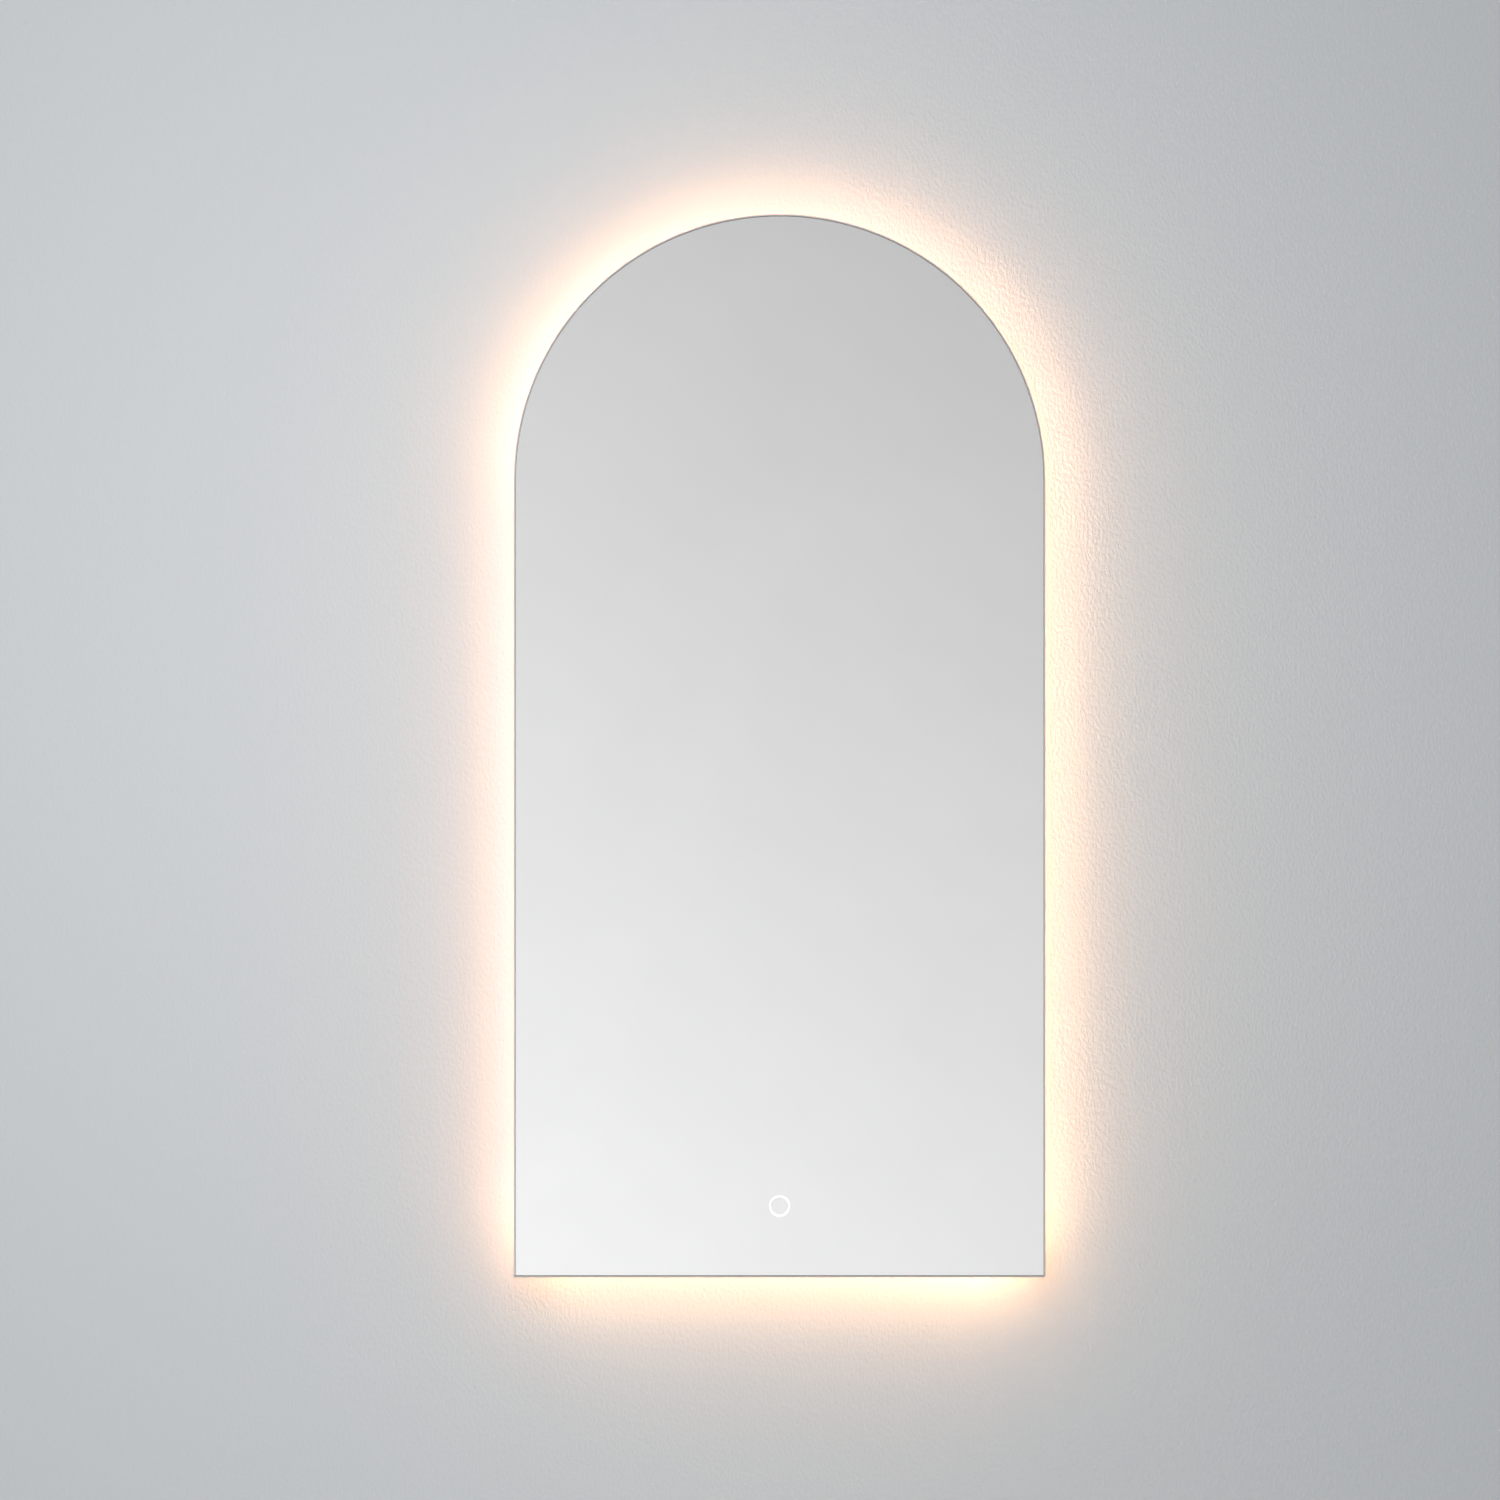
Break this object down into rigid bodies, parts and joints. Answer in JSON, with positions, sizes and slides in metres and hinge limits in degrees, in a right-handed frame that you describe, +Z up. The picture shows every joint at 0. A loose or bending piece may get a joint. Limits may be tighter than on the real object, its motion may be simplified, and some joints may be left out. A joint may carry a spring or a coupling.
{
  "type": "lighted bathroom mirror",
  "caption": "Frameless arched wall mirror with hidden warm light strips behind its edge, a lit touch ring and a sloped hanging bar that it lifts off.",
  "frame": {"origin": "midway between the wall bar's two screw holes, on the wall face", "axes": "+Z up, +X to the right as seen from the room, +Y into the wall"},
  "size_m": [0.5, 0.0385, 0.9999],
  "materials": {
    "clear_glass": "polished float glass with a ground and polished edge",
    "silver": "silver coating, with a grey safety film on its rear",
    "foam": "closed-cell bonding foam",
    "aluminium": "satin mill finish",
    "zinc_steel": "bright zinc plating",
    "black_rubber": "matt moulded rubber",
    "strip_board": "white solder mask",
    "light_chip": "yellow phosphor",
    "opal_warm": "opal plastic, lit warm white",
    "opal_white": "opal plastic, lit white",
    "white_plastic": "fine spark-eroded moulding",
    "driver_plastic": "smooth light grey moulding",
    "terminal_plastic": "cream moulding",
    "film": "amber heating film",
    "foil": "etched foil track",
    "board": "green solder mask",
    "contact_foam": "conductive foam",
    "red_wire": "insulation",
    "black_wire": "insulation",
    "brown_wire": "insulation",
    "earth_insulation": "green and yellow insulation"
  },
  "bodies": {
    "wall": {"wall_bar": "aluminium"},
    "mirror": {"mirror_glass": "clear_glass", "silver_backing": "silver", "bonding_tape": "foam", "chassis_arch": "aluminium", "chassis_side_left": "aluminium", "chassis_side_right": "aluminium", "chassis_bottom": "aluminium", "corner_plate_left": "zinc_steel", "corner_plate_right": "zinc_steel", "splice_plate_left": "zinc_steel", "splice_plate_right": "zinc_steel", "chassis_screws": "zinc_steel", "wall_bumpers": "black_rubber", "upper_crossbar": "aluminium", "lower_crossbar": "aluminium", "crossbar_tape": "foam", "crossbar_rivets": "aluminium", "hook_bar": "aluminium", "hook_end_caps": "black_rubber", "hook_bar_screws": "zinc_steel", "light_strip_loop": "strip_board", "light_strip_bottom": "strip_board", "light_chips_loop": "light_chip", "light_chips_bottom": "light_chip", "diffuser_arch": "opal_warm", "diffuser_left": "opal_warm", "diffuser_right": "opal_warm", "diffuser_bottom": "opal_warm", "driver_box": "white_plastic", "driver_box_lid": "white_plastic", "lid_screws": "zinc_steel", "box_ear_screws": "zinc_steel", "box_tape": "foam", "light_driver": "driver_plastic", "terminal_block": "terminal_plastic", "cable_gland": "black_rubber", "mains_leads": "brown_wire", "demister_pad": "film", "demister_element": "foil", "touch_cover": "white_plastic", "touch_board": "board", "touch_board_lights": "light_chip", "touch_ring_lens": "opal_white", "touch_contact": "contact_foam", "positive_wires": "red_wire", "negative_wires": "black_wire", "earth_wire": "earth_insulation", "earth_lug": "zinc_steel", "earth_screw": "zinc_steel", "wire_clips": "white_plastic", "wire_grommets": "black_rubber"}
  },
  "joints": [
    {"name": "lift_off", "type": "slide", "parent": "wall", "child": "mirror", "axis": [0, -0.7071, 0.7071], "range_m": [0, 0.03]}
  ]
}
